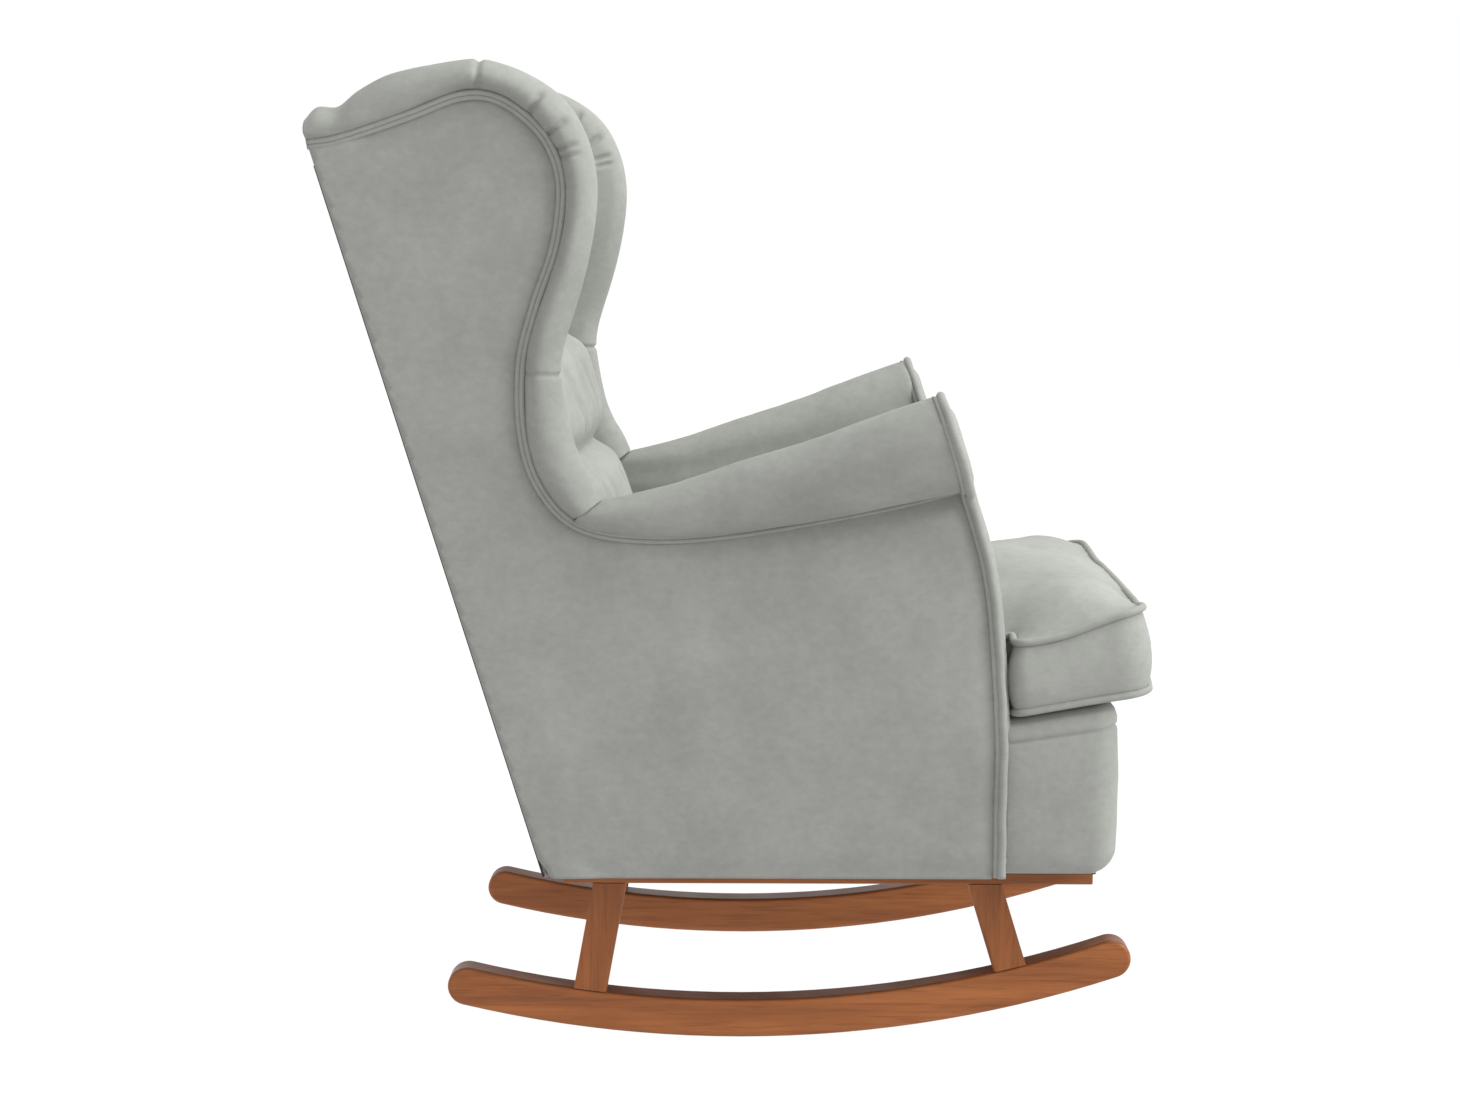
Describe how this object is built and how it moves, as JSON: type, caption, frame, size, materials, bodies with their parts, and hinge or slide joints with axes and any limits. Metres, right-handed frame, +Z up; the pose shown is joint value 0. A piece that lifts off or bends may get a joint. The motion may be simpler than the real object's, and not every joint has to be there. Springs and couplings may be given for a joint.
{
  "type": "rocking chair",
  "caption": "Upholstered wing-back rocking chair: velvet body with scroll arms, tufted back and loose T-shaped seat cushion on curved wooden rockers.",
  "frame": {"origin": "middle of the chair's footprint on the floor, under the middle of its bounding box", "axes": "+X towards the sitter's left, -Y towards the front of the chair, +Z up"},
  "size_m": [0.748, 0.854, 0.9982],
  "materials": {
    "velvet": "short-pile velvet, soft mottled nap",
    "velvet_piping": "velvet-covered welt cord",
    "stained_wood": "reddish-brown stain, satin lacquer, fine grain",
    "frame_timber": "raw sawn timber and plywood",
    "webbing": "woven elastic webbing",
    "deck_cloth": "plain deck cloth over thin wadding",
    "black_lining": "black non-woven lining and tack strip",
    "steel": "zinc-plated bolts"
  },
  "bodies": {
    "chair": {"arm_frame_left": "frame_timber", "arm_frame_right": "frame_timber", "arm_front_panel_left": "velvet", "arm_front_panel_right": "velvet", "arm_inner_pad_left": "velvet", "arm_inner_pad_right": "velvet", "arm_panel_piping_left": "velvet_piping", "arm_panel_piping_right": "velvet_piping", "arm_roll_left": "velvet", "arm_roll_right": "velvet", "back_bottom_rail": "frame_timber", "back_buttons": "velvet", "back_cushion": "velvet", "back_post_left": "frame_timber", "back_post_right": "frame_timber", "back_top_rail": "frame_timber", "back_top_roll": "velvet", "back_webbing": "webbing", "base_bolts": "steel", "corner_blocks": "frame_timber", "cross_rail_front": "stained_wood", "cross_rail_rear": "stained_wood", "dust_cover": "black_lining", "frame_bolts": "steel", "front_border": "velvet", "leg_front_left": "stained_wood", "leg_front_right": "stained_wood", "leg_rear_left": "stained_wood", "leg_rear_right": "stained_wood", "rear_cover": "velvet", "rear_tack_strip_left": "black_lining", "rear_tack_strip_right": "black_lining", "rocker_left": "stained_wood", "rocker_right": "stained_wood", "seat_deck_pad": "deck_cloth", "seat_frame_front": "frame_timber", "seat_frame_left": "frame_timber", "seat_frame_rear": "frame_timber", "seat_frame_right": "frame_timber", "seat_webbing": "webbing", "side_cover_left": "velvet", "side_cover_right": "velvet", "side_rail_left": "stained_wood", "side_rail_right": "stained_wood", "side_welt_left": "velvet_piping", "side_welt_right": "velvet_piping", "wing_frame_left": "frame_timber", "wing_frame_right": "frame_timber", "wing_inner_pad_left": "velvet", "wing_inner_pad_right": "velvet", "wing_roll_left": "velvet", "wing_roll_right": "velvet"},
    "cushion": {"seat_cushion": "velvet", "cushion_piping_top": "velvet_piping", "cushion_piping_bottom": "velvet_piping"}
  },
  "joints": [
    {"name": "cushion_lift", "type": "slide", "parent": "chair", "child": "cushion", "axis": [0, 0, 1], "range_m": [0, 0.25]}
  ]
}
